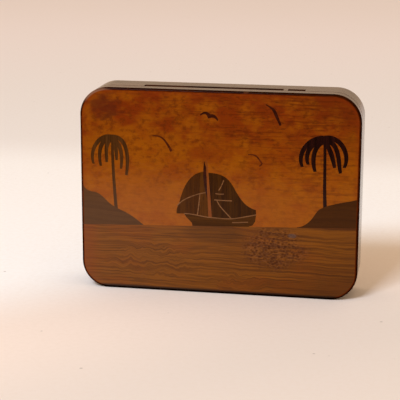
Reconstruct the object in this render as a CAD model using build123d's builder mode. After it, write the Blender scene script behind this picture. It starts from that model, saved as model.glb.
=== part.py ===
from build123d import *
import os

# Wooden puzzle box. It stands on its long edge, with the marquetry lid facing -Y.
# The lid slides up (+Z) off the case on two dovetail rails. A hidden key strip in the top edge
# slides along X, and its pin locks the lid. All sizes are in millimetres.

# ---------------------------------------------------------------- driving dimensions
WIDTH = 160.0            # overall, along X
HEIGHT = 118.0           # overall, along Z
CORNER_R = 16.0          # corners of the outline, seen from the front
LID_THICKNESS = 9.5      # front face to seam
CASE_THICKNESS = 18.5    # seam to back face
VENEER = 0.8             # marquetry and back veneer
PANEL = 3.0              # boards that close the lid and the case
BAND_WIDTH = 1.4         # dark edge band, seen from the front
BAND_DEPTH = 2.6
BAND_ROUND = 1.2
BACK_ROUND = 0.6
SIDE_WALL = 13.0
TOP_WALL = 11.0          # top wall of both frames, and bottom wall of the case
LID_SILL = 20.7          # bottom wall of the lid frame, which stops the lid against the pin
HOLLOW_R = 6.0
SEAM_GAP = 0.2
SEAM_ROUND = 0.35        # outer edges of the lid and the case, where they meet

RAIL_NECK = 4.0          # dovetail rail: width at the seam, width at its crown
RAIL_CROWN = 6.4
RAIL_HEIGHT = 3.6        # how far it stands out of the case
RAIL_ROOT = 3.0          # how deep it is let into the case
RAIL_LOW_END = 12.0      # from the bottom of the box
RAIL_HIGH_END = 10.0     # from the top of the box
RAIL_CLEARANCE = 0.2

KEY_LENGTH = 82.0
KEY_LEFT = -44.5         # left end of the key strip when it is unlocked
KEY_WIDTH = 5.0          # of the visible upper block
KEY_FOOT_WIDTH = 6.0     # of the lower block, which runs in an undercut channel
KEY_BLOCK = 3.8          # height of each of the two blocks
KEY_LIP = 1.2            # wall of the case in front of the lower block
KEY_SLIT = 0.35          # open slit behind the upper block
KEY_RECESS = 1.3         # the key's top lies this far under the box's top edge
KEY_CLEARANCE = 0.1
KEY_TRAVEL = 9.5
KEY_END_GAP = 0.3
NIB_LENGTH = 2.5         # the key's right end, which rises to the box's top edge
NICK_R = 1.6             # nail nick beside the nib
NICK_DEPTH = 0.7

PIN_D = 2.6
PIN_REACH = 2.6          # how far the pin stands into the lid
PIN_ROOT = 2.5           # how deep it is pressed into the key
PIN_FROM_KEY_END = 60.0  # along X from the key's left end
PIN_CLEARANCE = 0.3

# ---------------------------------------------------------------- levels worked out from them
FRONT = -(LID_THICKNESS + CASE_THICKNESS) / 2
BACK = -FRONT
SEAM = FRONT + LID_THICKNESS
LID_REAR = SEAM - SEAM_GAP / 2
CASE_FACE = SEAM + SEAM_GAP / 2
FACE_BOARD = FRONT + VENEER              # front of the lid panel
LID_FRAME_FACE = FACE_BOARD + PANEL      # front of the lid frame
CASE_FRAME_BACK = BACK - VENEER - PANEL

RAIL_X = (WIDTH - SIDE_WALL) / 2
RAIL_BOTTOM = RAIL_LOW_END
RAIL_TOP = HEIGHT - RAIL_HIGH_END

KEY_FOOT_TOP = HEIGHT - KEY_BLOCK
KEY_FOOT_BOTTOM = KEY_FOOT_TOP - KEY_BLOCK
KEY_TOP = HEIGHT - KEY_RECESS
KEY_RIGHT = KEY_LEFT + KEY_LENGTH
FOOT_FACE = CASE_FACE + KEY_LIP + KEY_CLEARANCE
PIN_X = KEY_LEFT + PIN_FROM_KEY_END
PIN_Z = (KEY_FOOT_TOP + KEY_FOOT_BOTTOM) / 2
PIN_SPACE = PIN_D / 2 + PIN_CLEARANCE    # half-size of every slot the pin runs in

PICTURE_W = WIDTH - 2 * BAND_WIDTH
PICTURE_H = HEIGHT - 2 * BAND_WIDTH

os.makedirs("parts", exist_ok=True)


# ---------------------------------------------------------------- helpers
def facing_plane(y):
    """Sketch plane at depth y: its x is X, its y is Z, and it extrudes towards the front."""
    return Plane.XZ.offset(-y)


def outline(inset=0.0):
    """The box's rounded rectangle, drawn into the sketch that is open."""
    with Locations((0, HEIGHT / 2)):
        RectangleRounded(WIDTH - 2 * inset, HEIGHT - 2 * inset, CORNER_R - inset)


def slab(low, high, mode=Mode.ADD):
    """A box between two corners, put into the part that is open."""
    size = [b - a for a, b in zip(low, high)]
    middle = [(a + b) / 2 for a, b in zip(low, high)]
    with Locations(tuple(middle)):
        Box(*size, mode=mode)


def hollow(bottom):
    """The compartment's rounded rectangle, from a height to under the top wall."""
    top = HEIGHT - TOP_WALL
    with Locations((0, (bottom + top) / 2)):
        RectangleRounded(WIDTH - 2 * SIDE_WALL, top - bottom, HOLLOW_R)


def finish(piece, name, colour):
    """Label a finished piece and write it."""
    piece.part.label = name
    piece.part.color = Color(*colour)
    export_step(piece.part, "parts/" + name + ".step")


WALNUT = (0.36, 0.20, 0.10)
DARK_WOOD = (0.12, 0.05, 0.02)
PLAIN_WOOD = (0.62, 0.45, 0.28)
SKY_WOOD = (0.60, 0.29, 0.07)
SEA_WOOD = (0.44, 0.24, 0.11)
HILL_WOOD = (0.30, 0.19, 0.11)
PALM_WOOD = (0.22, 0.12, 0.06)
SAIL_WOOD = (0.24, 0.15, 0.09)
LIGHT_WOOD = (0.66, 0.45, 0.26)
BRASS = (0.78, 0.60, 0.28)

# ---------------------------------------------------------------- case
with BuildPart() as case_frame:
    with BuildSketch(facing_plane(CASE_FRAME_BACK)):
        outline()
    extrude(amount=CASE_FRAME_BACK - CASE_FACE)
    fillet(case_frame.faces().sort_by(Axis.Y)[0].edges(), SEAM_ROUND)
    with BuildSketch(facing_plane(CASE_FRAME_BACK)):
        hollow(TOP_WALL)
    extrude(amount=CASE_FRAME_BACK - CASE_FACE, mode=Mode.SUBTRACT)
    # housings for the two rails
    for side in (-1, 1):
        slab(
            (side * RAIL_X - RAIL_NECK / 2, CASE_FACE, RAIL_BOTTOM),
            (side * RAIL_X + RAIL_NECK / 2, CASE_FACE + RAIL_ROOT, RAIL_TOP),
            mode=Mode.SUBTRACT,
        )
    # groove for the key: an open slot at the top, and a wider channel under it
    groove_left = KEY_LEFT - KEY_END_GAP
    groove_right = KEY_RIGHT + KEY_TRAVEL + KEY_END_GAP
    slab(
        (groove_left, CASE_FACE, KEY_FOOT_TOP - KEY_CLEARANCE),
        (groove_right, CASE_FACE + KEY_WIDTH + KEY_SLIT, HEIGHT),
        mode=Mode.SUBTRACT,
    )
    slab(
        (groove_left, CASE_FACE + KEY_LIP, KEY_FOOT_BOTTOM - KEY_CLEARANCE),
        (groove_right, FOOT_FACE + KEY_FOOT_WIDTH + KEY_CLEARANCE, KEY_FOOT_TOP + KEY_CLEARANCE),
        mode=Mode.SUBTRACT,
    )
    # slot through the lip for the lock pin
    slab(
        (PIN_X - PIN_SPACE, CASE_FACE, PIN_Z - PIN_SPACE),
        (PIN_X + KEY_TRAVEL + PIN_SPACE, CASE_FACE + KEY_LIP, PIN_Z + PIN_SPACE),
        mode=Mode.SUBTRACT,
    )
finish(case_frame, "case_frame", WALNUT)

with BuildPart() as back_panel:
    with BuildSketch(facing_plane(BACK - VENEER)):
        outline()
    extrude(amount=PANEL)
finish(back_panel, "back_panel", WALNUT)

with BuildPart() as back_veneer:
    with BuildSketch(facing_plane(BACK)):
        outline()
    extrude(amount=VENEER)
    fillet(back_veneer.faces().sort_by(Axis.Y)[-1].edges(), min(BACK_ROUND, VENEER * 0.9))
finish(back_veneer, "back_veneer", WALNUT)

for rail_name, side in (("left_rail", -1), ("right_rail", 1)):
    with BuildPart() as rail:
        with BuildSketch(Plane.XY.offset(RAIL_BOTTOM)):
            with BuildLine():
                Polyline(
                    (side * RAIL_X - RAIL_NECK / 2, CASE_FACE + RAIL_ROOT),
                    (side * RAIL_X - RAIL_NECK / 2, CASE_FACE),
                    (side * RAIL_X - RAIL_CROWN / 2, CASE_FACE - RAIL_HEIGHT),
                    (side * RAIL_X + RAIL_CROWN / 2, CASE_FACE - RAIL_HEIGHT),
                    (side * RAIL_X + RAIL_NECK / 2, CASE_FACE),
                    (side * RAIL_X + RAIL_NECK / 2, CASE_FACE + RAIL_ROOT),
                    close=True,
                )
            make_face()
        extrude(amount=RAIL_TOP - RAIL_BOTTOM)
    finish(rail, rail_name, PLAIN_WOOD)

# ---------------------------------------------------------------- key
with BuildPart() as key_strip:
    slab((KEY_LEFT, CASE_FACE, KEY_FOOT_TOP), (KEY_RIGHT, CASE_FACE + KEY_WIDTH, KEY_TOP))
    slab((KEY_LEFT, FOOT_FACE, KEY_FOOT_BOTTOM), (KEY_RIGHT, FOOT_FACE + KEY_FOOT_WIDTH, KEY_FOOT_TOP))
    # nail nick, a shallow round-bottomed notch across the top, and the nib that a thumb pushes
    nib_left = KEY_RIGHT - NIB_LENGTH
    with Locations((nib_left - NICK_R, CASE_FACE + KEY_WIDTH / 2, KEY_TOP + NICK_R - NICK_DEPTH)):
        Cylinder(NICK_R, KEY_WIDTH, rotation=(90, 0, 0), mode=Mode.SUBTRACT)
    slab((nib_left, CASE_FACE, KEY_TOP), (KEY_RIGHT, CASE_FACE + KEY_WIDTH, HEIGHT))
    # blind hole for the pin
    with BuildSketch(facing_plane(FOOT_FACE + PIN_ROOT)):
        with Locations((PIN_X, PIN_Z)):
            Circle(PIN_D / 2)
    extrude(amount=PIN_ROOT, mode=Mode.SUBTRACT)
finish(key_strip, "key_strip", WALNUT)

with BuildPart() as lock_pin:
    with BuildSketch(facing_plane(FOOT_FACE + PIN_ROOT)):
        with Locations((PIN_X, PIN_Z)):
            Circle(PIN_D / 2)
    extrude(amount=FOOT_FACE + PIN_ROOT - LID_REAR + PIN_REACH)
    chamfer(lock_pin.faces().sort_by(Axis.Y)[0].edges(), PIN_D * 0.12)
finish(lock_pin, "lock_pin", BRASS)

# ---------------------------------------------------------------- lid carcase
with BuildPart() as lid_frame:
    with BuildSketch(facing_plane(LID_REAR)):
        outline()
    extrude(amount=LID_REAR - LID_FRAME_FACE)
    fillet(lid_frame.faces().sort_by(Axis.Y)[-1].edges(), SEAM_ROUND)
    with BuildSketch(facing_plane(LID_REAR)):
        hollow(LID_SILL)
    extrude(amount=LID_REAR - LID_FRAME_FACE, mode=Mode.SUBTRACT)
    # dovetail grooves, open at the bottom and closed at the top
    for side in (-1, 1):
        with BuildSketch(Plane.XY):
            with BuildLine():
                neck = RAIL_NECK / 2 + RAIL_CLEARANCE
                crown = RAIL_CROWN / 2 + RAIL_CLEARANCE
                Polyline(
                    (side * RAIL_X - neck, CASE_FACE),
                    (side * RAIL_X - crown, CASE_FACE - RAIL_HEIGHT - RAIL_CLEARANCE),
                    (side * RAIL_X + crown, CASE_FACE - RAIL_HEIGHT - RAIL_CLEARANCE),
                    (side * RAIL_X + neck, CASE_FACE),
                    close=True,
                )
            make_face()
        extrude(amount=RAIL_TOP + RAIL_CLEARANCE, mode=Mode.SUBTRACT)
    # pocket that the pin crosses, and the way out of it when the key is unlocked;
    # what is left below the pocket, beside the way out, is the keeper
    pocket_face = LID_REAR - PIN_REACH - PIN_CLEARANCE
    slab(
        (PIN_X - PIN_SPACE, pocket_face, PIN_Z - PIN_SPACE),
        (PIN_X + KEY_TRAVEL + PIN_SPACE, LID_REAR, PIN_Z + PIN_SPACE),
        mode=Mode.SUBTRACT,
    )
    slab(
        (PIN_X - PIN_SPACE, pocket_face, HEIGHT - TOP_WALL - HOLLOW_R),
        (PIN_X + PIN_SPACE, LID_REAR, PIN_Z),
        mode=Mode.SUBTRACT,
    )
finish(lid_frame, "lid_frame", WALNUT)

with BuildPart() as lid_panel:
    with BuildSketch(facing_plane(LID_FRAME_FACE)):
        outline()
    extrude(amount=LID_FRAME_FACE - FRONT - BAND_DEPTH)
    with BuildSketch(facing_plane(FRONT + BAND_DEPTH)):
        outline(BAND_WIDTH)
    extrude(amount=BAND_DEPTH - VENEER)
finish(lid_panel, "lid_panel", PLAIN_WOOD)

with BuildPart() as edge_band:
    with BuildSketch(facing_plane(FRONT + BAND_DEPTH)):
        outline()
    extrude(amount=BAND_DEPTH)
    fillet(edge_band.faces().sort_by(Axis.Y)[0].edges(), min(BAND_ROUND, BAND_WIDTH * 0.9))
    with BuildSketch(facing_plane(FRONT + BAND_DEPTH)):
        outline(BAND_WIDTH)
    extrude(amount=BAND_DEPTH, mode=Mode.SUBTRACT)
finish(edge_band, "edge_band", DARK_WOOD)


# ---------------------------------------------------------------- marquetry picture
# Picture points are (across, up) in percent of the picture's width and height:
# across runs from -50 to 50, and up from 0 at its lower edge to 100.
def at(across, up):
    """A picture point in millimetres."""
    return (across / 100 * PICTURE_W, BAND_WIDTH + up / 100 * PICTURE_H)


def brush(points, widths):
    """A tapered stroke of veneer: a smooth line with a width in millimetres at each point."""
    path = [Vector(*at(*point)) for point in points]
    left = []
    right = []
    for i, (here, width) in enumerate(zip(path, widths)):
        along = path[min(i + 1, len(path) - 1)] - path[max(i - 1, 0)]
        across = Vector(-along.Y, along.X).normalized() * (width / 2)
        left.append(here + across)
        right.append(here - across)
    with BuildSketch(mode=Mode.PRIVATE) as stroke:
        with BuildLine():
            Spline(*left)
            Line(left[-1], right[-1])
            Spline(*reversed(right))
            Line(right[0], left[0])
        make_face()
    return stroke.sketch


def brushes(strokes):
    """Several strokes joined: each is its points and its widths."""
    with BuildSketch(mode=Mode.PRIVATE) as joined:
        for points, widths in strokes:
            add(brush(points, widths))
    return joined.sketch


def area_under(curve_points, floor_points):
    """The area between a smooth upper line and a straight lower one, both left to right."""
    upper = [at(*point) for point in curve_points]
    lower = [at(*point) for point in floor_points]
    with BuildSketch(mode=Mode.PRIVATE) as area:
        with BuildLine():
            Spline(*upper)
            Polyline(upper[-1], *reversed(lower), upper[0])
        make_face()
    return area.sketch


HORIZON_LEFT = 31.4      # height of the waterline at the picture's two sides
HORIZON_RIGHT = 35.9


def horizon(across):
    """The waterline's height at a point across the picture."""
    return HORIZON_LEFT + (HORIZON_RIGHT - HORIZON_LEFT) * (across + 50) / 100


def waterline(start, end):
    """The two ends of a stretch of the waterline."""
    return [(start, horizon(start)), (end, horizon(end))]


left_hill_area = area_under(
    [(-50, 51.6), (-48.4, 49.2), (-44.9, 48), (-40.3, 43), (-36, 39.7), (-33.3, 38), (-30, 35.1), (-27.5, 32.5)],
    waterline(-50, -27.5),
)
right_hill_area = area_under(
    [(28.8, 35.1), (32.2, 37), (34.7, 40.8), (36.5, 44.3), (38.9, 46.1), (43, 47.9), (50, 50.2)],
    waterline(28.8, 50),
)

# Each palm: trunk points, and its fronds from the crown out to their tips.
TRUNK_WIDTHS = (1.6, 1.7, 1.8, 2.1)
LEFT_TRUNK = [(-38.9, 74.5), (-38.8, 64.4), (-38.4, 52.6), (-37.7, 38.7)]
RIGHT_TRUNK = [(38.1, 77.5), (38.3, 68), (38.4, 58), (38.8, 44.5)]
LEFT_FRONDS = [
    [(-38.6, 76.6), (-43, 75.6), (-45.9, 70.4), (-46, 62.7)],
    [(-38.8, 75.8), (-42.2, 74), (-43.7, 68.2), (-43.3, 61.8)],
    [(-38.8, 76), (-40.6, 73.6), (-41.2, 68.5), (-41.1, 63.8)],
    [(-39.3, 75.5), (-38, 72.5), (-37.5, 69), (-37.4, 65)],
    [(-39.5, 75.9), (-37, 73.6), (-35.6, 68), (-35.8, 60.7)],
    [(-39.8, 76.7), (-35.6, 75.2), (-33.4, 66.5), (-33.8, 57.6)],
]
RIGHT_FRONDS = [
    [(38.8, 79.8), (33.8, 78.6), (30, 71.9), (30.3, 65.5)],
    [(38.6, 78.8), (34.2, 76.8), (32.1, 72.2), (32.4, 66.7)],
    [(38.4, 78.8), (35.6, 75.9), (34.2, 69.2), (34.9, 63.3)],
    [(37.8, 78.8), (39.4, 75.6), (41, 70), (41.8, 65.6)],
    [(37.6, 79), (41, 77.2), (42.9, 71.5), (43.9, 63)],
    [(37.2, 79.8), (42.6, 78.8), (45.5, 73), (45.1, 65.8)],
]
LEFT_FROND_WIDTHS = (2.6, 2.5, 2.1, 1.4)
RIGHT_FROND_WIDTHS = (2.8, 2.7, 2.5, 1.7)


def trunk_area(points, crown, hill):
    """A trunk, cut where it meets its crown above and the hill below."""
    with BuildSketch(mode=Mode.PRIVATE) as trunk:
        add(brush(points, TRUNK_WIDTHS))
        add(crown, mode=Mode.SUBTRACT)
        add(hill, mode=Mode.SUBTRACT)
    # the crown may cut a crumb off the trunk's top, and only the trunk itself stays
    return trunk.sketch.faces().sort_by(SortBy.AREA)[-1]


left_crown_area = brushes([(frond, LEFT_FROND_WIDTHS) for frond in LEFT_FRONDS])
right_crown_area = brushes([(frond, RIGHT_FROND_WIDTHS) for frond in RIGHT_FRONDS])
left_trunk_area = trunk_area(LEFT_TRUNK, left_crown_area, left_hill_area)
right_trunk_area = trunk_area(RIGHT_TRUNK, right_crown_area, right_hill_area)

# ---------------------------------------------------------------- boat
SEAM_WIDTH = 0.6         # light stringing between and across the sails
MAST_TOP_LEFT = (-4.5, 66.7)
MAST_TOP_RIGHT = (-3.9, 66.7)
MAST_FOOT_LEFT = (-3.4, 38)
MAST_FOOT_RIGHT = (-2.1, 37.9)
SAIL_HEAD = (-3.9, 60.6)  # on the mast, where both sails start
MAST_SHADE = [(-5, 66.5), (-5.4, 60.6), (-5, 54), (-3.8, 47)]
GUNWALE = [(-12.4, 39.3), (-8, 38.9), MAST_FOOT_LEFT, MAST_FOOT_RIGHT, (5, 37.8), (8.7, 38.7), (14, 40.4)]
BOW = [(-11.4, 37.3), (-9.6, 34.9)]
STERN = [(12.7, 34.9), (13.7, 36.9)]
HULL_FOOT = (-9.3, 11.2)  # from where to where the hull stands on the waterline
FORE_LUFF = [(-5.3, 61), (-7.2, 60.3), (-9.6, 58.1), (-12, 53.6), (-13.8, 46.9)]
FORE_CLEW = [(-14.4, 43.8), (-15, 42.1), (-15.2, 39.2)]
MAIN_LEECH = [(-1.3, 60.4), (0.8, 59.8), (3, 58.3), (5.5, 54.3), (7.6, 49.5), (10.6, 44.9), (13.9, 42.9)]


def closed_area(*runs):
    """A face bounded by runs of points: each run is a smooth curve, joined by straight lines."""
    curves = [[at(*point) for point in run] for run in runs]
    with BuildSketch(mode=Mode.PRIVATE) as area:
        with BuildLine():
            for points, following in zip(curves, curves[1:] + curves[:1]):
                if len(points) > 1:
                    Spline(*points)
                Line(points[-1], following[0])
        make_face()
    return area.sketch


def without(area, *others):
    """An area less the areas let into it."""
    with BuildSketch(mode=Mode.PRIVATE) as rest:
        add(area)
        for other in others:
            add(other, mode=Mode.SUBTRACT)
    return rest.sketch


gunwale_area = brush(GUNWALE, [SEAM_WIDTH] * len(GUNWALE))
hull_line_area = brush([(5.3, 35.9), (8, 36.1), (11.1, 36.5)], [SEAM_WIDTH] * 3)
hull_area = without(
    closed_area(GUNWALE[::-1], BOW, waterline(*HULL_FOOT), STERN),
    gunwale_area,
    hull_line_area,
)
mast_area = without(
    closed_area([MAST_TOP_LEFT], [MAST_FOOT_LEFT], [MAST_FOOT_RIGHT], [MAST_TOP_RIGHT]),
    gunwale_area,
)
mast_shade_area = without(closed_area(MAST_SHADE, [SAIL_HEAD]), mast_area)

fore_seam_area = without(
    brush([(-15, 43.1), (-12.6, 46.2), (-10.1, 48), (-6.7, 49.8), (-3.7, 50.6)], [SEAM_WIDTH] * 5),
    mast_area,
    mast_shade_area,
)
fore_foot_seam_area = without(
    brush([(-6.6, 50), (-7, 44), (-7.5, 38.8)], [SEAM_WIDTH] * 3),
    fore_seam_area,
    gunwale_area,
)
MAIN_SEAMS = [
    [(-1.3, 47), (2, 46.9), (5.2, 46.9)],
    [(-0.4, 46.9), (0.5, 44.6), (2.4, 41.5), (4.9, 37.9)],
    [(2.1, 57.2), (1.3, 54.4), (0.3, 51.8)],
    [(-0.9, 50.2), (0.6, 50), (2.2, 50.1)],
]
main_seams_area = without(
    brushes([(seam, [SEAM_WIDTH] * len(seam)) for seam in MAIN_SEAMS]),
    gunwale_area,
)

on_the_mast = (mast_area, mast_shade_area, gunwale_area)
fore_sail_outline = closed_area(FORE_LUFF, FORE_CLEW, GUNWALE[:3], [SAIL_HEAD])
fore_sail_area = without(fore_sail_outline, fore_seam_area, fore_foot_seam_area, *on_the_mast)
main_sail_outline = closed_area([SAIL_HEAD] + MAIN_LEECH, GUNWALE[:2:-1])
main_sail_area = without(main_sail_outline, main_seams_area, *on_the_mast)
fore_sail_upper, fore_sail_lower, fore_sail_clew = fore_sail_area.faces().sort_by(SortBy.AREA)[:-4:-1]

# ---------------------------------------------------------------- birds
BIRDS = {
    "bird_centre": [
        ([(-6.6, 89.1), (-4.6, 90.3), (-3.2, 88.4)], (0.7, 1.5, 2.6)),
        ([(-3.6, 88.5), (-1.7, 88.8), (-0.2, 86.8)], (2.4, 1.8, 0.8)),
    ],
    "bird_right": [
        ([(17, 95.4), (18.4, 94.3), (19.7, 92.9), (20.6, 90.6), (21.4, 88.2), (22.3, 85.4)],
         (0.5, 0.9, 1.5, 1.8, 1.5, 1.2)),
    ],
    "bird_left": [
        ([(-24, 78.1), (-22.2, 78), (-20.6, 77.2), (-19.2, 75.3), (-18, 72.9), (-17.1, 70.6)],
         (0.5, 0.8, 0.9, 1.1, 1.3, 1.6)),
    ],
    "bird_low": [
        ([(10.8, 70.4), (12.3, 70.5), (13.7, 69.9), (14.8, 68.3), (15.8, 66.5)], (0.5, 0.7, 0.8, 0.8, 0.9)),
        ([(15.9, 66.6), (15.6, 65.7), (14.9, 64.9)], (0.9, 0.8, 0.5)),
    ],
}

# ---------------------------------------------------------------- veneers
pieces = {
    "left_hill": (left_hill_area, HILL_WOOD),
    "right_hill": (right_hill_area, HILL_WOOD),
    "left_palm_trunk": (left_trunk_area, PALM_WOOD),
    "left_palm_fronds": (left_crown_area, PALM_WOOD),
    "right_palm_trunk": (right_trunk_area, DARK_WOOD),
    "right_palm_fronds": (right_crown_area, DARK_WOOD),
    "boat_hull": (hull_area, SAIL_WOOD),
    "boat_gunwale": (gunwale_area, LIGHT_WOOD),
    "boat_hull_line": (hull_line_area, LIGHT_WOOD),
    "boat_mast": (mast_area, SKY_WOOD),
    "boat_mast_shade": (mast_shade_area, DARK_WOOD),
    "fore_sail_upper": (fore_sail_upper, SAIL_WOOD),
    "fore_sail_lower": (fore_sail_lower, SAIL_WOOD),
    "fore_sail_clew": (fore_sail_clew, SAIL_WOOD),
    "fore_sail_seam": (fore_seam_area, LIGHT_WOOD),
    "fore_sail_foot_seam": (fore_foot_seam_area, LIGHT_WOOD),
    "main_sail": (main_sail_area, SAIL_WOOD),
    "main_sail_seams": (main_seams_area, LIGHT_WOOD),
}
for bird_name, wings in BIRDS.items():
    pieces[bird_name] = (brushes(wings), DARK_WOOD)

for piece_name, (area, colour) in pieces.items():
    with BuildPart() as inlay:
        with BuildSketch(facing_plane(FACE_BOARD)):
            add(area)
        extrude(amount=VENEER)
    finish(inlay, piece_name, colour)

with BuildPart() as sea_veneer:
    with BuildSketch(facing_plane(FACE_BOARD)):
        outline(BAND_WIDTH)
        add(area_under(waterline(-50, 50), [(-50, -1), (50, -1)]), mode=Mode.INTERSECT)
    extrude(amount=VENEER)
finish(sea_veneer, "sea_veneer", SEA_WOOD)

with BuildPart() as sky_veneer:
    with BuildSketch(facing_plane(FACE_BOARD)):
        outline(BAND_WIDTH)
        add(area_under(waterline(-50, 50), [(-50, -1), (50, -1)]), mode=Mode.SUBTRACT)
        for area, _ in pieces.values():
            add(area, mode=Mode.SUBTRACT)
    extrude(amount=VENEER)
finish(sky_veneer, "sky_veneer", SKY_WOOD)
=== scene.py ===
import math

import bpy
from mathutils import Matrix, Vector


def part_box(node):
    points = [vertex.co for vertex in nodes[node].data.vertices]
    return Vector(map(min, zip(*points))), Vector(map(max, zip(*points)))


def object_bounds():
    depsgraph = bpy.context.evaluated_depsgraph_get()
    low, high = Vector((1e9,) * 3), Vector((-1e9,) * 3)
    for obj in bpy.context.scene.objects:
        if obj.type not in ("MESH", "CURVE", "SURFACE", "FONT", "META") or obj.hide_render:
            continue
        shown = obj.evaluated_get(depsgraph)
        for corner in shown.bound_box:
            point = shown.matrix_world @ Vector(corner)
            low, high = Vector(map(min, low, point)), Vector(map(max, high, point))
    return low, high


# The looks of the wooden puzzle box: camera, studio, and a procedural wood for every piece.
# Lengths are in metres in the part's frame: X along the box, Y from the lid to the back, Z up.
# Inside the materials they are in millimetres.

MM = 0.001
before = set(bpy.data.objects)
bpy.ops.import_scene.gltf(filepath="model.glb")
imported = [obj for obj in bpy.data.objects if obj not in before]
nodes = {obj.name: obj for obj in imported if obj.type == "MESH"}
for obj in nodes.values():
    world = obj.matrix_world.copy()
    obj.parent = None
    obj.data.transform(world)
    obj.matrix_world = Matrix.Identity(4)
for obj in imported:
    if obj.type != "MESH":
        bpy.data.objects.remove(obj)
cad_low, cad_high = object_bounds()

WIDTH = cad_high.x - cad_low.x
HEIGHT = cad_high.z - cad_low.z

# The box's sides, in millimetres.
LEFT, RIGHT = cad_low.x / MM, cad_high.x / MM
FRONT, BACK = cad_low.y / MM, cad_high.y / MM
FOOT, TOP = cad_low.z / MM, cad_high.z / MM


# ---------------------------------------------------------------- camera
AZIMUTH = math.radians(10.2)      # towards the right side of the box
ELEVATION = math.radians(13.75)
ROLL = math.radians(0.2)
DISTANCE = 0.7796
LENS = 123.3
SENSOR = 36.0
CLIP = (0.05, 50.0)
AIM = Vector((-0.0643 * WIDTH, cad_low.y, 0.467 * HEIGHT))


def make_camera():
    """A long lens, a little above the box and a little to its right."""
    data = bpy.data.cameras.new("camera")
    data.lens = LENS
    data.sensor_width = SENSOR
    data.clip_start, data.clip_end = CLIP
    camera = bpy.data.objects.new("camera", data)
    bpy.context.scene.collection.objects.link(camera)
    back = Vector((
        math.sin(AZIMUTH) * math.cos(ELEVATION),
        -math.cos(AZIMUTH) * math.cos(ELEVATION),
        math.sin(ELEVATION),
    ))
    place = Matrix.Translation(AIM + back * DISTANCE)
    turn = (-back).to_track_quat("-Z", "Y").to_matrix().to_4x4()
    camera.matrix_world = place @ turn @ Matrix.Rotation(ROLL, 4, "Z")
    bpy.context.scene.camera = camera


# ---------------------------------------------------------------- node helpers
class Nodes:
    """A node tree, with short calls for the nodes used here. A value is a socket or a plain value."""

    def __init__(self, tree):
        self.tree = tree
        tree.nodes.clear()

    def add(self, kind):
        return self.tree.nodes.new("ShaderNode" + kind)

    def put(self, socket, value):
        """Links a socket, or sets it to a plain value."""
        if isinstance(value, bpy.types.NodeSocket):
            self.tree.links.new(value, socket)
        else:
            socket.default_value = value

    def put_all(self, node, values):
        """Links or sets a node's inputs by name."""
        for name, value in values.items():
            self.put(node.inputs[name], value)

    def math(self, operation, a, b=None):
        node = self.add("Math")
        node.operation = operation
        self.put(node.inputs[0], a)
        if b is not None:
            self.put(node.inputs[1], b)
        return node.outputs[0]

    def plus(self, a, b):
        return self.math("ADD", a, b)

    def minus(self, a, b):
        return self.math("SUBTRACT", a, b)

    def times(self, a, b):
        return self.math("MULTIPLY", a, b)

    def vector(self, operation, a, b):
        node = self.add("VectorMath")
        node.operation = operation
        self.put(node.inputs[0], a)
        self.put(node.inputs[1], b)
        return node.outputs["Vector"]

    def axis(self, vector, letter):
        node = self.add("SeparateXYZ")
        self.put(node.inputs[0], vector)
        return node.outputs[letter]

    def combine(self, x, y, z):
        node = self.add("CombineXYZ")
        self.put_all(node, {"X": x, "Y": y, "Z": z})
        return node.outputs[0]

    def noise(self, vector, scale=1.0, detail=2.0, roughness=0.5, distortion=0.0):
        node = self.add("TexNoise")
        self.put_all(node, {"Vector": vector, "Scale": scale, "Detail": detail, "Roughness": roughness,
                            "Distortion": distortion})
        return node.outputs["Fac"]

    def cells(self, vector, scale=1.0):
        """How far a point lies from the nearest of many scattered spots."""
        node = self.add("TexVoronoi")
        self.put_all(node, {"Vector": vector, "Scale": scale})
        return node.outputs["Distance"]

    def steps(self, value, low, high, to_low=0.0, to_high=1.0):
        """A smooth step from one level to another."""
        node = self.add("MapRange")
        node.interpolation_type = "SMOOTHSTEP"
        self.put_all(node, {"Value": value, "From Min": low, "From Max": high, "To Min": to_low,
                            "To Max": to_high})
        return node.outputs["Result"]

    def mix(self, factor, a, b):
        """A mix of two colours."""
        node = self.add("Mix")
        node.data_type = "RGBA"
        sockets = {socket.identifier: socket for socket in node.inputs}
        self.put(sockets["Factor_Float"], factor)
        self.put(sockets["A_Color"], a)
        self.put(sockets["B_Color"], b)
        return [socket for socket in node.outputs if socket.identifier == "Result_Color"][0]

    def bump(self, height, strength, distance, normal=None):
        node = self.add("Bump")
        self.put_all(node, {"Height": height, "Strength": strength, "Distance": distance})
        if normal is not None:
            self.put(node.inputs["Normal"], normal)
        return node.outputs["Normal"]


class Shader(Nodes):
    """A material with one principled surface. Positions in it are in millimetres."""

    def __init__(self, name):
        self.material = bpy.data.materials.new(name)
        self.material.use_nodes = True
        super().__init__(self.material.node_tree)
        principled = self.add("BsdfPrincipled")
        self.put(self.add("OutputMaterial").inputs["Surface"], principled.outputs["BSDF"])
        self.surface = principled.inputs
        metres = self.add("TexCoord").outputs["Object"]
        self.position = self.vector("MULTIPLY", metres, (1 / MM, 1 / MM, 1 / MM))
        self.x, self.y, self.z = [self.axis(self.position, letter) for letter in "XYZ"]

    def look(self, colour, roughness, normal):
        """Links what varies over the surface."""
        self.put(self.surface["Base Color"], colour)
        self.put(self.surface["Roughness"], roughness)
        self.put(self.surface["Normal"], normal)

    def stretched(self, scales, offset=(0.0, 0.0, 0.0)):
        """The position, moved and then scaled along each axis, to draw a noise out."""
        return self.vector("MULTIPLY", self.vector("ADD", self.position, offset), scales)


def linear(red, green, blue):
    """A colour given as screen levels, 0 to 255, in the linear light that shaders use."""
    def one(level):
        share = level / 255
        return share / 12.92 if share <= 0.04045 else ((share + 0.055) / 1.055) ** 2.4
    return (one(red), one(green), one(blue), 1.0)


# ---------------------------------------------------------------- masks, in mm
CORNER_RADIUS = 16.0        # of the box's outline
BLOT_EDGE = (0.25, 1.35)    # where a blot fades, in squares of the share of its half sizes


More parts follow.
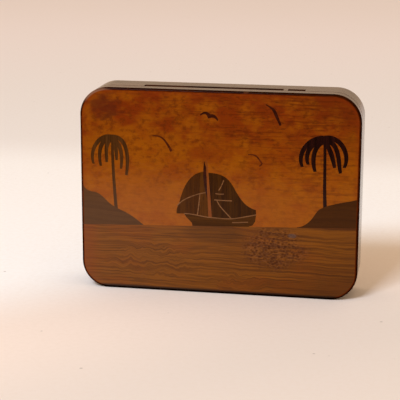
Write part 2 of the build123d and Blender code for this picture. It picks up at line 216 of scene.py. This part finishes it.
def inset(shader):
    """How far a point lies inside the box's rounded outline."""
    half_x = (RIGHT - LEFT) / 2 - CORNER_RADIUS
    half_z = (TOP - FOOT) / 2 - CORNER_RADIUS
    from_x = shader.minus(shader.x, (LEFT + RIGHT) / 2)
    from_z = shader.minus(shader.z, (FOOT + TOP) / 2)
    past_x = shader.minus(shader.math("ABSOLUTE", from_x), half_x)
    past_z = shader.minus(shader.math("ABSOLUTE", from_z), half_z)
    out_x = shader.math("MAXIMUM", past_x, 0.0)
    out_z = shader.math("MAXIMUM", past_z, 0.0)
    corner = shader.math("SQRT", shader.plus(shader.times(out_x, out_x), shader.times(out_z, out_z)))
    flat = shader.math("MINIMUM", shader.math("MAXIMUM", past_x, past_z), 0.0)
    return shader.minus(CORNER_RADIUS, shader.plus(corner, flat))


def arris(shader):
    """How far a point lies from the box's outer front and back arrises."""
    from_front = shader.minus(shader.y, FRONT)
    from_back = shader.minus(BACK, shader.y)
    return shader.math("MAXIMUM", inset(shader), shader.math("MINIMUM", from_front, from_back))


def blot(shader, centre, half, ragged, wander=1.6):
    """1 in the middle of an ellipse on the front, fading to 0 past its ragged edge."""
    across = shader.math("DIVIDE", shader.minus(shader.x, centre[0]), half[0])
    up = shader.math("DIVIDE", shader.minus(shader.z, centre[1]), half[1])
    reach = shader.plus(shader.times(across, across), shader.times(up, up))
    reach = shader.plus(reach, shader.times(shader.minus(ragged, 0.5), wander))
    return shader.steps(reach, *BLOT_EDGE, 1.0, 0.0)


# ---------------------------------------------------------------- lacquered woods
LACQUER_IOR = 1.36
LACQUER_ROUGHNESS = 0.07
PEEL_SCALE = 0.45                   # per mm, of the lacquer's slight orange peel
PEEL_RELIEF = 0.4 * MM
PORE_EDGE = (0.34, 0.46)            # the noise levels between which a pore fades out
PORE_RELIEF = 0.05 * MM
BAND_PORE_RELIEF = 0.06 * MM
TOOL_MARK_RELIEF = 0.05 * MM
PIT_RELIEF = 0.25 * MM
SEED_STEP = (37.0, 11.0, 23.0)      # mm between the places of two neighbouring seeds
RING_SCALE = 0.5                    # per mm, across the rings
RING_STRETCH = 0.006                # how little the rings change along the grain
PORE_ALONG, PORE_ACROSS = 0.16, 1.9     # per mm

# Grain that runs up the box.
UPRIGHT = dict(along="Z", heart=(-300.0, 60.0), waviness=8.0)

# Patches of colour, wear and painted light on the front: the centre (x, z) and the half sizes, in mm.
SKY_GLOW = (LEFT + 32.0, TOP - 34.0), (34.0, 13.0)
SKY_STAIN = (LEFT + 15.0, TOP - 11.0), (10.0, 8.0)
SKY_DARK_CORNER = (RIGHT - 4.0, TOP + 6.0), (40.0, 26.0)
SKY_BRIGHT_SIDE = (RIGHT - 5.0, TOP - 42.0), (10.0, 22.0)
SEA_KNOTS = (LEFT + 43.0, FOOT + 18.0), (26.0, 11.0)
SEA_ARCH = (RIGHT - 66.0, FOOT + 7.0), (20.0, 7.0)
SEA_UNDER_BOAT = (RIGHT - 82.0, FOOT + 35.5), (19.0, 5.5)
SEA_PITTED = (RIGHT - 47.5, FOOT + 28.5), (18.5, 13.0)
SEA_CHIP = (RIGHT - 37.4, FOOT + 36.6), (2.6, 1.4)
# partly rubbed wood, partly a painted highlight, on the band at the upper left corner
BAND_WEAR_AND_GLINT = (LEFT + 11.0, TOP - 5.0), (10.0, 5.0)


def lacquer(shader, roughness=LACQUER_ROUGHNESS, coat=1.0, under=0.03, dents=None):
    """The clear gloss film: a coat over a dull base, with a slight orange-peel surface."""
    surface = shader.surface
    surface["Coat Weight"].default_value = coat
    surface["Coat Roughness"].default_value = roughness
    surface["Coat IOR"].default_value = LACQUER_IOR
    surface["Specular IOR Level"].default_value = under
    peel = shader.noise(shader.position, scale=PEEL_SCALE)
    shader.put(surface["Coat Normal"], shader.bump(peel, 0.10, PEEL_RELIEF, dents))


def growth(shader, along, heart, waviness, seed):
    """Solid wood: growth rings round a heart line, and pores drawn out along the grain."""
    across = [letter for letter in "XYZ" if letter != along]
    position = shader.vector("ADD", shader.position, [seed * step for step in SEED_STEP])
    length = shader.axis(position, along)
    wander = shader.noise(position, scale=0.014)
    offsets = [shader.minus(shader.axis(shader.position, letter), place)
               for letter, place in zip(across, heart)]
    squares = [shader.times(offset, offset) for offset in offsets]
    radius = shader.math("SQRT", shader.plus(*squares))
    radius = shader.plus(radius, shader.times(shader.minus(wander, 0.5), waviness))
    rings = shader.noise(shader.combine(shader.times(length, RING_STRETCH), seed, radius),
                         scale=RING_SCALE, detail=5.0, roughness=0.6)
    sides = [shader.times(shader.axis(position, letter), PORE_ACROSS) for letter in across]
    pores = shader.noise(shader.combine(shader.times(length, PORE_ALONG), *sides), roughness=0.6)
    return rings, pores


def wood(name, dark, light, along="X", heart=(40.0, -300.0), waviness=14.0, seed=1.0, contrast=0.14,
         pore_depth=0.35, coat=1.0, roughness=0.45, gloss=LACQUER_ROUGHNESS, worn=None):
    """A wood: ring colour between two tones, slow patches, darker pores, worn arrises, and its film.

    heart is where the heart line passes, on the two axes across the grain. worn is the colour of
    the bare wood at the box's arrises.
    """
    shader = Shader(name)
    rings, pores = growth(shader, along, heart, waviness, seed)
    colour = shader.mix(shader.steps(rings, 0.5 - contrast, 0.5 + contrast), dark, light)
    moved = shader.vector("ADD", shader.position, (seed, seed, seed))
    patches = shader.noise(moved, scale=0.045, detail=3.0)
    colour = shader.mix(shader.steps(patches, 0.35, 0.65, 0.0, 0.35), colour, dark)
    deep = [0.4 * level for level in dark[:3]] + [1.0]
    colour = shader.mix(shader.steps(pores, *PORE_EDGE, pore_depth, 0.0), colour, deep)
    if worn:
        rub = shader.noise(shader.position, scale=0.35, detail=4.0)
        from_edge = shader.plus(arris(shader), shader.times(rub, 3.0))
        colour = shader.mix(shader.steps(from_edge, 1.3, 2.6, 0.55, 0.0), colour, worn)
    dull = shader.steps(patches, 0.3, 0.7, roughness - 0.06, roughness + 0.08)
    shader.look(colour, dull, shader.bump(pores, 0.12, PORE_RELIEF))
    if coat:
        lacquer(shader, coat=coat, roughness=gloss)
    else:
        shader.surface["Specular IOR Level"].default_value = 0.3
    return shader


def sky_wood():
    """Orange-brown veneer, redder and darker towards the top, mottled, with short level flecks."""
    shader = Shader("sky_wood")

    def cloudy(across, up, offset=0.0, detail=2.0, roughness=0.5):
        """A noise with this many cells in a mm across and up the sky."""
        place = shader.stretched((across, 0.05, up), (offset, 0.0, offset))
        return shader.noise(place, detail=detail, roughness=roughness)

    mottle = cloudy(0.06, 0.085, detail=4.0, roughness=0.6)
    rise = shader.plus(shader.z, shader.times(shader.minus(mottle, 0.5), 50.0))
    high = shader.steps(rise, FOOT + 57.0, FOOT + 105.0)
    colour = shader.mix(high, linear(139, 70, 1), linear(110, 39, 0))
    # yellower clouds, most of all in the left half, and redder ones
    glow = shader.times(blot(shader, *SKY_GLOW, mottle, 1.0), 0.24)
    glow = shader.plus(cloudy(0.07, 0.085, 80.0, detail=3.0), glow)
    colour = shader.mix(shader.steps(glow, 0.44, 0.66, 0.0, 0.6), colour, linear(142, 75, 0))
    red = cloudy(0.10, 0.13, 200.0, detail=3.0)
    colour = shader.mix(shader.steps(red, 0.50, 0.66, 0.0, 0.26), colour, linear(116, 36, 1))
    # smoky blotches; then dark level streaks and flecks that gather to the upper right
    smoke = shader.steps(cloudy(0.26, 0.32, 260.0, detail=4.0, roughness=0.65), 0.48, 0.68)
    smoke = shader.times(smoke, shader.steps(rise, FOOT + 50.0, FOOT + 95.0, 0.22, 0.6))
    colour = shader.mix(smoke, colour, linear(84, 32, 0))
    upper = shader.plus(shader.times(shader.x, 0.55), shader.z)
    upper = shader.steps(upper, FOOT + 62.0, FOOT + 122.0, 0.12, 1.0)
    streaks = shader.steps(cloudy(0.055, 0.80, 40.0, detail=3.0, roughness=0.6), 0.48, 0.66, 0.0, 0.62)
    colour = shader.mix(shader.times(streaks, upper), colour, linear(82, 26, 0))
    flecks = shader.steps(cloudy(0.24, 1.05, 120.0), 0.58, 0.70, 0.0, 0.5)
    colour = shader.mix(shader.times(flecks, upper), colour, linear(64, 22, 0))
    lights = shader.steps(cloudy(0.16, 0.5, 320.0), 0.58, 0.74, 0.0, 0.22)
    colour = shader.mix(lights, colour, linear(154, 82, 4))
    pores = cloudy(0.3, 4.2, roughness=0.6)
    colour = shader.mix(shader.steps(pores, *PORE_EDGE, 0.16, 0.0), colour, linear(60, 20, 0))
    # a dull reddish stain in the upper left corner, and darker wood in the upper right one
    stain = blot(shader, *SKY_STAIN, cloudy(0.22, 0.32, detail=3.0), 2.6)
    colour = shader.mix(shader.times(stain, 0.62), colour, linear(72, 24, 6))
    dark_corner = blot(shader, *SKY_DARK_CORNER, mottle)
    colour = shader.mix(shader.times(dark_corner, 0.35), colour, linear(80, 30, 0))
    # a brighter strip down the right side
    bright_side = blot(shader, *SKY_BRIGHT_SIDE, mottle, 0.8)
    colour = shader.mix(shader.times(bright_side, 0.25), colour, linear(142, 78, 0))
    # a redder rim along the banding
    rim = shader.steps(inset(shader), 1.5, 4.5, 0.30, 0.0)
    colour = shader.mix(rim, colour, linear(118, 40, 2))
    shader.look(colour, shader.steps(mottle, 0.3, 0.7, 0.36, 0.5), shader.bump(pores, 0.10, PORE_RELIEF))
    lacquer(shader)
    return shader


def sea_wood():
    """Brown veneer with fine level grain, a wavy stretch in it, and a scratched, pitted patch."""
    shader = Shader("sea_wood")
    # the grain's height: level, but for a slow drift and two knotty stretches near the foot
    drift = shader.noise(shader.stretched((0.012, 0.02, 0.03)), detail=1.0)
    ripple = shader.noise(shader.stretched((0.13, 0.05, 0.10)))
    arch = shader.times(blot(shader, *SEA_ARCH, drift), 0.8)
    knotty = shader.plus(shader.math("MAXIMUM", blot(shader, *SEA_KNOTS, drift), arch), 0.14)
    lifted = shader.plus(shader.z, shader.times(shader.minus(drift, 0.5), 9.0))
    lifted = shader.plus(lifted, shader.times(shader.times(shader.minus(ripple, 0.5), knotty), 9.0))

    def grain(along, scale, layer=0.0, detail=2.0, roughness=0.5):
        """Lines drawn out along X, that follow the grain's height."""
        place = shader.combine(shader.times(shader.x, along), layer, lifted)
        return shader.noise(place, scale=scale, detail=detail, roughness=roughness)

    lines = grain(0.016, 0.75, detail=3.0, roughness=0.6)
    colour = shader.mix(shader.steps(lines, 0.36, 0.60), linear(88, 44, 2), linear(112, 61, 5))
    clouds = shader.noise(shader.stretched((0.035, 0.05, 0.07)), detail=3.0)
    colour = shader.mix(shader.steps(clouds, 0.46, 0.66, 0.0, 0.45), colour, linear(112, 52, 2))
    fine = grain(0.045, 1.25)
    colour = shader.mix(shader.steps(fine, 0.36, 0.50, 0.42, 0.0), colour, linear(66, 31, 1))
    bright = grain(0.03, 0.8, layer=7.0)
    colour = shader.mix(shader.steps(bright, 0.54, 0.70, 0.0, 0.34), colour, linear(126, 68, 6))
    # a few long dark lines in the right half, and darker wood to the lower right and under the boat
    long_lines = shader.steps(grain(0.006, 0.55, layer=31.0), 0.56, 0.63, 0.0, 0.6)
    long_lines = shader.times(long_lines, shader.steps(shader.x, -10.0, 45.0, 0.15, 1.0))
    colour = shader.mix(long_lines, colour, linear(62, 28, 1))
    low_right = shader.minus(shader.x, shader.times(shader.z, 2.2))
    colour = shader.mix(shader.steps(low_right, 0.0, 72.0, 0.0, 0.7), colour, linear(72, 34, 1))
    under_boat = blot(shader, *SEA_UNDER_BOAT, drift, 0.8)
    colour = shader.mix(shader.times(under_boat, 0.42), colour, linear(62, 30, 1))
    # the pitted patch: creases and ridges, dark pits with light rims, and a pale chip above them
    ragged = shader.noise(shader.stretched((0.13, 0.13, 0.2)), detail=3.0)
    patch = blot(shader, *SEA_PITTED, ragged)
    creases = shader.noise(shader.stretched((0.30, 0.3, 0.80)), detail=3.0, distortion=1.2)
    crease = shader.times(patch, shader.steps(creases, 0.47, 0.56, 0.0, 0.62))
    colour = shader.mix(crease, colour, linear(62, 25, 4))
    ridge = shader.times(patch, shader.steps(creases, 0.34, 0.42, 0.18, 0.0))
    colour = shader.mix(ridge, colour, linear(134, 82, 48))
    pits = shader.cells(shader.stretched((0.44, 0.44, 0.60)))
    pit = shader.times(patch, shader.steps(pits, 0.16, 0.46, 1.0, 0.0))
    colour = shader.mix(shader.times(pit, 0.55), colour, linear(52, 20, 4))
    ring = shader.times(shader.steps(pits, 0.40, 0.52), shader.steps(pits, 0.52, 0.66, 1.0, 0.0))
    colour = shader.mix(shader.times(shader.times(patch, ring), 0.14), colour, linear(132, 84, 56))
    chip = blot(shader, *SEA_CHIP, ragged, 0.8)
    colour = shader.mix(shader.times(chip, 0.30), colour, linear(86, 80, 78))
    # a redder left end, painted shade along the foot where the box meets the floor, and a dark glue line
    # along the horizon
    left_end = shader.steps(shader.x, LEFT + 2.0, LEFT + 14.0, 0.5, 0.0)
    colour = shader.mix(left_end, colour, linear(118, 50, 8))
    painted_foot_shade = shader.steps(shader.minus(shader.z, FOOT), 1.6, 3.0, 0.9, 0.0)
    colour = shader.mix(painted_foot_shade, colour, linear(16, 5, 0))
    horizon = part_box("sea_veneer")[1].z / MM
    glue = shader.steps(shader.minus(horizon, shader.z), 0.3, 1.5, 0.5, 0.0)
    colour = shader.mix(glue, colour, linear(62, 24, 1))
    shader.look(colour, shader.steps(clouds, 0.3, 0.7, 0.38, 0.52), shader.bump(fine, 0.08, PORE_RELIEF))
    hollow = shader.minus(shader.steps(pits, 0.05, 0.40), 1.0)
    depth = shader.plus(1.0, shader.times(patch, hollow))
    lacquer(shader, dents=shader.bump(depth, 0.5, PIT_RELIEF))
    return shader


def band_wood():
    """The dark banding: black-brown at the arris, redder towards the picture, worn dull by rubbing, with a
    painted highlight at the upper left corner and painted shade along the foot.
    """
    shader = Shader("edge_wood")
    rings, pores = growth(shader, "X", (40.0, -300.0), 8.0, 4.0)
    rub = shader.noise(shader.position, scale=0.25, detail=3.0)
    colour = shader.mix(shader.steps(rings, 0.36, 0.64), linear(30, 7, 0), linear(48, 15, 0))
    inner = shader.plus(inset(shader), shader.times(shader.minus(rub, 0.5), 0.8))
    inner = shader.times(shader.steps(inner, 0.75, 1.25), 0.85)
    colour = shader.mix(inner, colour, linear(92, 32, 3))
    colour = shader.mix(shader.steps(pores, *PORE_EDGE, 0.3, 0.0), colour, linear(14, 3, 0))
    scuff = shader.times(shader.steps(rub, 0.56, 0.68), shader.steps(inset(shader), 0.2, 1.0, 0.5, 0.0))
    colour = shader.mix(scuff, colour, linear(92, 52, 24))
    # a pale spot at the upper left corner: partly rubbed wood, partly a painted highlight
    wear_and_glint = blot(shader, *BAND_WEAR_AND_GLINT, rub, 0.6)
    colour = shader.mix(shader.times(wear_and_glint, 0.55), colour, linear(150, 104, 78))
    # painted shade: near black along the foot, where the box meets the floor
    painted_foot_shade = shader.steps(shader.minus(shader.z, FOOT), 1.3, 2.6, 0.95, 0.0)
    colour = shader.mix(painted_foot_shade, colour, (0.0015, 0.0005, 0.0, 1.0))
    dull = shader.steps(rub, 0.35, 0.65, 0.45, 0.6)
    shader.look(colour, dull, shader.bump(pores, 0.15, BAND_PORE_RELIEF))
    lacquer(shader, coat=0.06, roughness=0.2, under=0.0)
    return shader


def brass():
    """Turned brass with fine rings of tool marks and a little tarnish."""
    shader = Shader("pin_brass")
    shader.surface["Metallic"].default_value = 1.0
    tarnish = shader.noise(shader.position, scale=0.6, detail=4.0)
    tone = shader.mix(shader.steps(tarnish, 0.4, 0.7), linear(214, 176, 98), linear(150, 112, 60))
    tool_marks = shader.noise(shader.stretched((0.2, 6.0, 0.2)))
    dull = shader.steps(tarnish, 0.3, 0.7, 0.22, 0.42)
    shader.look(tone, dull, shader.bump(tool_marks, 0.2, TOOL_MARK_RELIEF))
    return shader


def paint(shader, *names):
    """Gives CAD nodes a material."""
    for name in names:
        mesh = nodes[name].data
        mesh.materials.clear()
        mesh.materials.append(shader.material)


def paint_box():
    """The case, the lid's boards, the key and its pin."""
    bare = linear(120, 78, 44)
    paint(wood("case_wood", linear(46, 21, 9), linear(82, 43, 20), heart=(60.0, -60.0), seed=3.0,
               gloss=0.16, worn=bare),
          "case_frame", "back_panel", "lid_frame", "lid_panel", "key_strip")
    paint(wood("back_wood", linear(66, 33, 13), linear(116, 64, 30), heart=(40.0, -120.0), waviness=60.0,
               seed=9.0, contrast=0.2, gloss=0.12, worn=bare),
          "back_veneer")
    paint(band_wood(), "edge_band")
    paint(wood("rail_wood", linear(150, 112, 70), linear(192, 152, 104), seed=5.0, coat=0.0, roughness=0.5,
               **UPRIGHT),
          "left_rail", "right_rail")
    paint(brass(), "lock_pin")


def paint_picture():
    """The veneers of the picture on the lid."""
    paint(sky_wood(), "sky_veneer")
    paint(sea_wood(), "sea_veneer")
    paint(wood("left_hill_wood", linear(72, 40, 9), linear(82, 48, 16), seed=6.0, pore_depth=0.2),
          "left_hill")
    paint(wood("right_hill_wood", linear(57, 26, 1), linear(65, 32, 2), seed=7.0, pore_depth=0.2, coat=0.6),
          "right_hill")
    paint(wood("left_palm_wood", linear(54, 27, 2), linear(78, 44, 12), seed=8.0, **UPRIGHT),
          "left_palm_trunk", "left_palm_fronds")
    paint(wood("right_palm_wood", linear(22, 4, 1), linear(38, 10, 4), seed=10.0, **UPRIGHT),
          "right_palm_trunk", "right_palm_fronds")
    sail = dict(UPRIGHT, seed=11.0, contrast=0.1, pore_depth=0.45, coat=0.4)
    paint(wood("fore_sail_wood", linear(62, 29, 1), linear(81, 43, 3), **sail),
          "fore_sail_upper", "fore_sail_lower", "fore_sail_clew")
    paint(wood("main_sail_wood", linear(48, 21, 0), linear(66, 34, 1), **sail), "main_sail")
    paint(wood("hull_wood", linear(58, 28, 0), linear(76, 41, 3), seed=15.0, coat=0.4), "boat_hull")
    paint(wood("stringing_wood", linear(96, 58, 26), linear(126, 82, 46), seed=12.0, pore_depth=0.5),
          "boat_gunwale", "boat_hull_line", "fore_sail_seam", "fore_sail_foot_seam", "main_sail_seams")
    paint(wood("mast_wood", linear(100, 46, 6), linear(128, 64, 15), seed=13.0, **UPRIGHT), "boat_mast")
    paint(wood("bird_wood", linear(40, 10, 1), linear(58, 18, 3), seed=14.0),
          "bird_centre", "bird_right", "boat_mast_shade")
    paint(wood("faded_bird_wood", linear(62, 20, 2), linear(84, 32, 5), seed=16.0),
          "bird_left", "bird_low")


# ---------------------------------------------------------------- studio
FLOOR_HALF = 6.0
FLOOR_GAP = 0.02 * MM                       # keeps the floor out of the box's foot
FLOOR_SLANT = 0.9                           # how far the painted shade in front swings round to the right
PAPER_FRONT = (0.74, 0.63, 0.54, 1.0)
PAPER_NEAR = (0.85, 0.70, 0.59, 1.0)
PAPER = (0.92, 0.87, 0.82, 1.0)
PAPER_BEYOND = (0.82, 0.755, 0.705, 1.0)
PAPER_FAR = (0.91, 0.81, 0.785, 1.0)
PAPER_UNLIT = (0.01, 0.008, 0.006, 1.0)     # the paper in the dark part of the room, in the gloss

AMBIENT = (0.79, 0.64, 0.487, 1.0)          # warm light from all round
WALL_SEEN = (0.80, 0.62, 0.51, 1.0)         # the room as the camera sees it above the horizon
WALL_MIRRORED = (0.64, 0.46, 0.31, 1.0)     # the wall behind the box, as the gloss shows it
ROOM_MIRRORED = (0.015, 0.010, 0.008, 1.0)  # the dark room in front and above

KEY_PLACE = Vector((-0.60, -1.58, 1.72))    # to the left, in front and above
KEY_AIM = Vector((0.0, 0.0, 0.03))
KEY_SIZE = 0.64
KEY_POWER = 47.7
KEY_COLOUR = (0.65, 0.79, 1.0)


def make_floor():
    """A wide sheet of pale paper, with painted shade in front, to the right, and a few hands behind the
    box.
    """
    mesh = bpy.data.meshes.new("floor")
    corners = [(-1, -1), (1, -1), (1, 1), (-1, 1)]
    mesh.from_pydata([(FLOOR_HALF * x, FLOOR_HALF * y, 0) for x, y in corners], [], [(0, 1, 2, 3)])
    floor = bpy.data.objects.new("floor", mesh)
    bpy.context.scene.collection.objects.link(floor)
    floor.location.z = cad_low.z - FLOOR_GAP
    shader = Shader("paper")
    x, y = shader.x, shader.y
    slant = shader.minus(y, shader.times(x, FLOOR_SLANT))
    # the tones paint the light's fall-off on the paper: where each tone starts and where it is reached,
    # from front to back, in mm
    colour = PAPER_FRONT
    for depth, start, end, tone in (
        (slant, -170.0, -20.0, PAPER_NEAR),
        (slant, -10.0, 120.0, PAPER),
        (y, 290.0, 420.0, PAPER_BEYOND),
        (y, 420.0, 1300.0, PAPER_FAR),
    ):
        colour = shader.mix(shader.steps(depth, start, end), colour, tone)
    fibre = shader.noise(shader.position, scale=0.35, detail=5.0)
    colour = shader.mix(shader.steps(fibre, 0.35, 0.75, 0.0, 0.10), colour, linear(214, 190, 166))
    specks = shader.cells(shader.position, scale=0.045)
    colour = shader.mix(shader.steps(specks, 0.02, 0.05, 0.5, 0.0), colour, linear(150, 130, 112))
    # the room in front of the table is dark, most of all to the right, so there the paper fades out
    # of the lacquer's reflections
    side = shader.steps(x, -110.0, 60.0, 1.0, 0.38)
    side = shader.math("MAXIMUM", side, shader.steps(y, -10.0, 30.0))
    lit = shader.times(shader.steps(y, -380.0, -170.0), side)
    mirrored = shader.add("LightPath").outputs["Is Glossy Ray"]
    fade = shader.times(shader.minus(1.0, lit), mirrored)
    shader.put(shader.surface["Base Color"], shader.mix(fade, colour, PAPER_UNLIT))
    shader.surface["Roughness"].default_value = 0.9
    shader.surface["Specular IOR Level"].default_value = 0.1
    mesh.materials.append(shader.material)


def make_world():
    """A warm room: soft light all round, a bright wall behind the box, and darkness in front of it."""
    world = bpy.data.worlds.new("studio")
    bpy.context.scene.world = world
    world.use_nodes = True
    room = Nodes(world.node_tree)
    direction = room.add("TexCoord").outputs["Generated"]
    rays = room.add("LightPath").outputs
    # the mirrored wall: behind the box, and fading out some way above the horizon
    behind = room.steps(room.axis(direction, "Y"), 0.1, 0.6)
    low_down = room.steps(room.axis(direction, "Z"), 0.35, 0.75, 1.0, 0.0)
    mirrored = room.mix(room.times(behind, low_down), ROOM_MIRRORED, WALL_MIRRORED)
    seen = room.mix(rays["Is Camera Ray"], AMBIENT, WALL_SEEN)
    background = room.add("Background")
    room.put(background.inputs["Color"], room.mix(rays["Is Glossy Ray"], seen, mirrored))
    room.put(room.add("OutputWorld").inputs["Surface"], background.outputs[0])


def make_key_light():
    """One large cool light, which casts the soft shadow to the right."""
    data = bpy.data.lights.new("key", "AREA")
    data.shape = "SQUARE"
    data.size = KEY_SIZE
    data.energy = KEY_POWER
    data.color = KEY_COLOUR
    light = bpy.data.objects.new("key", data)
    bpy.context.scene.collection.objects.link(light)
    light.location = KEY_PLACE
    light.rotation_euler = (KEY_AIM - KEY_PLACE).to_track_quat("-Z", "Y").to_euler()


make_camera()
paint_box()
paint_picture()
make_floor()
make_world()
make_key_light()
bpy.context.scene.view_settings.view_transform = "Standard"
